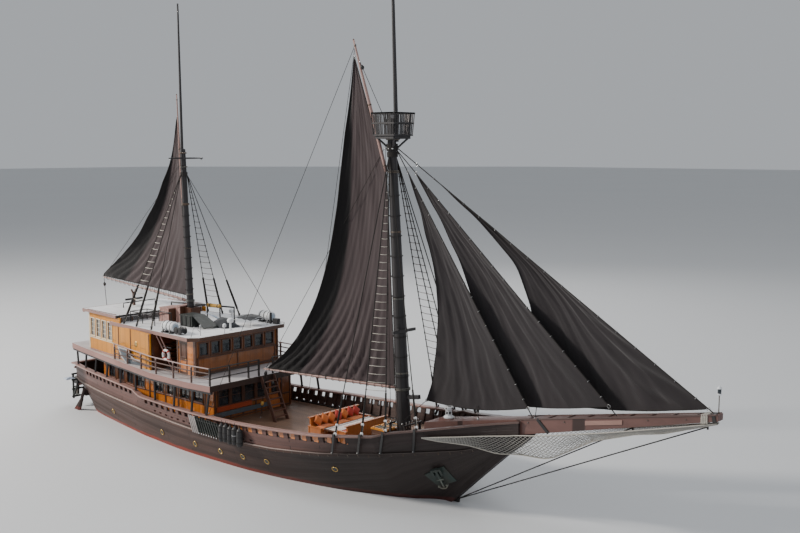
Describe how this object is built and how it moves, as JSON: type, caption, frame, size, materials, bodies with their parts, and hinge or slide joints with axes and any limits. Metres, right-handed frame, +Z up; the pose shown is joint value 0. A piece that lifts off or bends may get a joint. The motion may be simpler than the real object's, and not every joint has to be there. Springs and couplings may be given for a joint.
{
  "type": "phinisi (two-masted wooden sailing ship), half-scale model",
  "caption": "Half-scale model of a two-masted wooden sailing ship with raised stern houses, long flat bowsprit and dark gaff and jib sails, set afloat.",
  "frame": {"origin": "on the centreline at the waterline, near the middle of the ship", "axes": "+X towards the bow, +Y to port, +Z up; z = 0 is the water's surface"},
  "size_m": [21.475, 4.3, 15.051],
  "materials": {
    "hull_wood": "weathered dark brown planking, near black forward, with a red boot-top",
    "keel_wood": "dark oiled timber",
    "deck_planks": "bare teak-like planks, worn",
    "trim_wood": "pinkish-brown weathered trim",
    "bowsprit_wood": "reddish-brown oiled timber",
    "net": "pale grey rope netting",
    "dark_rope": "tarred rope and wire",
    "iron": "grey-green painted iron",
    "white_paint": "white gloss paint",
    "varnish": "orange varnished wood",
    "cushion_cloth": "orange and red woven covers",
    "table_top": "pale painted boards",
    "dark_wood": "dark brown varnished wood",
    "yellow_paint": "yellow-ochre painted panels",
    "black_spar": "black-tarred spar",
    "roof_paint": "white painted canvas on boards",
    "light_spar": "pale pinkish bare spar",
    "sail_cloth": "charcoal-black sailcloth",
    "bronze": "bronze"
  },
  "bodies": {
    "hull": {"hull": "hull_wood", "keel_and_stem": "keel_wood", "main_deck": "deck_planks", "bulwark_starboard": "trim_wood", "bulwark_port": "trim_wood", "bowsprit": "bowsprit_wood", "bow_net": "net", "bobstays": "dark_rope", "anchor_starboard": "iron", "anchor_port": "iron", "sofa": "varnish", "sofa_cushions": "cushion_cloth", "deck_table": "table_top", "bench": "varnish", "hatch_coaming": "dark_wood", "main_mast": "black_spar", "mizzen_mast": "black_spar", "upper_deck": "trim_wood", "lower_house_starboard": "varnish", "lower_house_port": "varnish", "lower_house_front": "varnish", "lower_house_aft": "varnish", "veranda_posts_starboard": "dark_wood", "veranda_posts_port": "dark_wood", "upper_railing_starboard": "trim_wood", "upper_railing_port": "trim_wood", "stairs": "dark_wood", "wheelhouse_roof": "roof_paint", "wheelhouse_front": "dark_wood", "wheelhouse_side_starboard": "varnish", "wheelhouse_side_port": "varnish", "cabin_side_starboard": "yellow_paint", "cabin_side_port": "yellow_paint", "cabin_aft": "yellow_paint", "cabin_roof": "roof_paint", "life_raft_starboard": "white_paint", "life_raft_port": "white_paint", "main_topmast": "black_spar", "mizzen_topmast": "light_spar", "crows_nest": "black_spar", "main_shrouds": "dark_rope", "mizzen_shrouds": "dark_rope", "forestays": "dark_rope", "inner_jib": "sail_cloth", "middle_jib": "sail_cloth", "outer_jib": "sail_cloth", "stern_beam": "keel_wood"},
    "windlass": {"windlass_drum": "white_paint"},
    "hatch": {"hatch_lid": "yellow_paint"},
    "saloon_door": {"saloon_door": "dark_wood"},
    "wheelhouse_door": {"wheelhouse_door": "dark_wood"},
    "main_rig": {"main_boom": "light_spar", "main_gaff": "light_spar", "mainsail": "sail_cloth"},
    "mizzen_rig": {"mizzen_boom": "light_spar", "mizzen_gaff": "light_spar", "mizzen_sail": "sail_cloth"},
    "rudder_starboard": {"rudder_starboard": "keel_wood"},
    "rudder_port": {"rudder_port": "keel_wood"},
    "propeller": {"propeller": "bronze"}
  },
  "joints": [
    {"name": "main_boom_swing", "type": "hinge", "parent": "hull", "child": "main_rig", "pos_m": [5.89234, 0, 4], "axis": [-0.0568, 0, 0.9984], "range_deg": [-40, 30]},
    {"name": "mizzen_boom_swing", "type": "hinge", "parent": "hull", "child": "mizzen_rig", "pos_m": [-2.34557, 0, 4], "axis": [-0.0441, 0, 0.999], "range_deg": [-25, 25]},
    {"name": "rudder_starboard_turn", "type": "hinge", "parent": "hull", "child": "rudder_starboard", "pos_m": [-6.275, -1.1754, 0.76], "axis": [0.4472, 0, 0.8944], "range_deg": [-35, 35]},
    {"name": "rudder_port_turn", "type": "hinge", "parent": "hull", "child": "rudder_port", "pos_m": [-6.275, 1.1754, 0.76], "axis": [0.4472, 0, 0.8944], "range_deg": [-35, 35]},
    {"name": "propeller_spin", "type": "hinge", "parent": "hull", "child": "propeller", "pos_m": [-7.25, 0, -0.6], "axis": [1, 0, 0], "continuous": true},
    {"name": "windlass_spin", "type": "hinge", "parent": "hull", "child": "windlass", "pos_m": [7.425, 0, 1.95], "axis": [0, 0, 1], "continuous": true},
    {"name": "hatch_lift", "type": "hinge", "parent": "hull", "child": "hatch", "pos_m": [5.77, -0.05, 1.425], "axis": [0, 1, 0], "range_deg": [0, 80]},
    {"name": "saloon_door_swing", "type": "hinge", "parent": "hull", "child": "saloon_door", "pos_m": [0.4604, 0.9925, 1.35], "axis": [0, 0, 1], "range_deg": [0, 95]},
    {"name": "wheelhouse_door_swing", "type": "hinge", "parent": "hull", "child": "wheelhouse_door", "pos_m": [-0.9225, -1.4829, 2.5], "axis": [0, 0, 1], "range_deg": [-95, 0]}
  ],
  "couplings": [
    {"joint": "rudder_port_turn", "follows": "rudder_starboard_turn", "ratio": 1}
  ]
}
